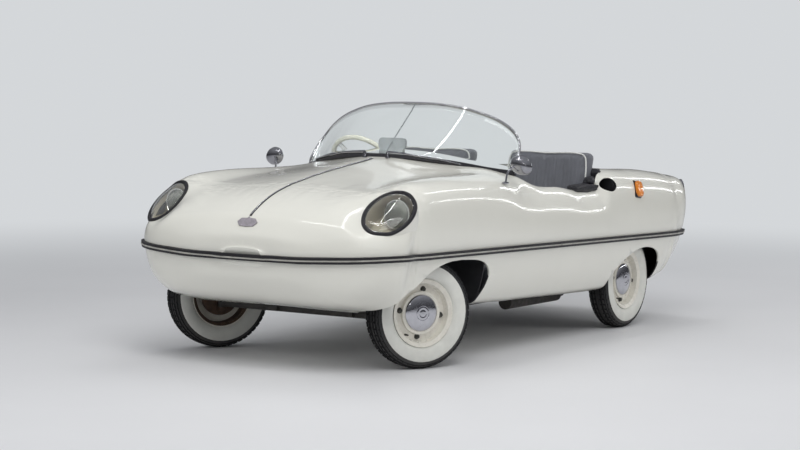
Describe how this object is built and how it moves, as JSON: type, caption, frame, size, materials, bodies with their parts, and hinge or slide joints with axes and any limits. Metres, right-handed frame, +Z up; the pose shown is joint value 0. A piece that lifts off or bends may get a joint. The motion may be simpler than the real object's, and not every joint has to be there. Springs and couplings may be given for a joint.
{
  "type": "open microcar",
  "caption": "Small open two-seat car with a smooth two-piece glass-fibre body, wrap-round screen and turned front wheels",
  "frame": {"origin": "on the ground under the middle of the car's outline", "axes": "+X to the car's left side, +Y to the tail, +Z up"},
  "size_m": [1.448, 3.0448, 1.1055],
  "materials": {
    "body_paint": "glossy warm off-white paint over glass-fibre mouldings",
    "inner_panel": "plain dark laminate",
    "dark_steel": "semi-matt black paint with road dirt",
    "engine_alloy": "dull cast alloy",
    "clear_glass": "clear, slightly tinted",
    "clear_cover": "clear moulded cover",
    "bright_metal": "polished plate",
    "dark_rubber": "dull moulded rubber",
    "tyre_rubber": "black with a white sidewall band",
    "rim_paint": "cream enamel",
    "seat_vinyl": "grey pleated vinyl with pale piping",
    "wheel_plastic": "cream moulded rim",
    "amber_lens": "amber lens",
    "red_lens": "dark red lens",
    "lamp_glass": "silvered bowl behind a fluted lens"
  },
  "bodies": {
    "body": {"body_upper": "body_paint", "body_lower": "body_paint", "belt_trim": "dark_rubber", "front_axle": "dark_steel", "chassis": "dark_steel", "rear_axles": "dark_steel", "engine_block": "engine_alloy", "windscreen_glass": "clear_glass", "windscreen_frame": "bright_metal", "windscreen_seal": "dark_rubber", "seat_cushion_left": "seat_vinyl", "seat_cushion_right": "seat_vinyl", "seat_back_left": "seat_vinyl", "seat_back_right": "seat_vinyl", "steering_column": "dark_steel", "headlamp_bezels": "dark_rubber", "headlamp_covers": "clear_cover", "headlamp_buckets": "dark_steel", "headlamp_units": "lamp_glass", "side_mirrors": "bright_metal", "dashboard": "inner_panel", "bulkheads": "inner_panel", "wipers": "bright_metal", "mirror_and_stay": "bright_metal", "bonnet_trim": "bright_metal", "indicators": "amber_lens", "tail_lamps": "red_lens", "silencer": "dark_steel", "hand_levers": "bright_metal", "pedals": "dark_steel"},
    "knuckle_left": {"knuckle_left": "dark_steel"},
    "knuckle_right": {"knuckle_right": "dark_steel"},
    "steering_wheel": {"steering_wheel": "wheel_plastic"},
    "engine_lid": {"engine_lid": "body_paint"},
    "wheel_front_left": {"tyre_front_left": "tyre_rubber", "rim_front_left": "rim_paint", "hubcap_front_left": "bright_metal"},
    "wheel_front_right": {"tyre_front_right": "tyre_rubber", "rim_front_right": "rim_paint", "hubcap_front_right": "bright_metal"},
    "wheel_rear_left": {"tyre_rear_left": "tyre_rubber", "rim_rear_left": "rim_paint", "hubcap_rear_left": "bright_metal"},
    "wheel_rear_right": {"tyre_rear_right": "tyre_rubber", "rim_rear_right": "rim_paint", "hubcap_rear_right": "bright_metal"}
  },
  "joints": [
    {"name": "steer_left", "type": "hinge", "parent": "body", "child": "knuckle_left", "pos_m": [0.509, -0.984, 0.235], "axis": [0, 0, 1], "range_deg": [-2, 54]},
    {"name": "spin_front_left", "type": "hinge", "parent": "knuckle_left", "child": "wheel_front_left", "pos_m": [0.54489, -1.00166, 0.235], "axis": [0.8973, -0.4415, 0], "continuous": true},
    {"name": "steer_right", "type": "hinge", "parent": "body", "child": "knuckle_right", "pos_m": [-0.509, -0.984, 0.235], "axis": [0, 0, 1], "range_deg": [-2.2, 54.2]},
    {"name": "spin_front_right", "type": "hinge", "parent": "knuckle_right", "child": "wheel_front_right", "pos_m": [-0.54425, -0.9651, 0.235], "axis": [0.8813, -0.4726, 0], "continuous": true},
    {"name": "spin_rear_left", "type": "hinge", "parent": "body", "child": "wheel_rear_left", "pos_m": [0.55, 0.816, 0.235], "axis": [1, 0, 0], "continuous": true},
    {"name": "spin_rear_right", "type": "hinge", "parent": "body", "child": "wheel_rear_right", "pos_m": [-0.55, 0.816, 0.235], "axis": [1, 0, 0], "continuous": true},
    {"name": "steering_wheel_turn", "type": "hinge", "parent": "body", "child": "steering_wheel", "pos_m": [-0.285, -0.18, 0.8], "axis": [0, 0.8, 0.6], "range_deg": [-26, 650]},
    {"name": "engine_lid_hinge", "type": "hinge", "parent": "body", "child": "engine_lid", "pos_m": [0, 0.69, 0.788], "axis": [1, 0, 0], "range_deg": [0, 60]}
  ],
  "couplings": [
    {"joint": "steer_right", "follows": "steer_left", "ratio": 1},
    {"joint": "steering_wheel_turn", "follows": "steer_left", "ratio": 12}
  ]
}
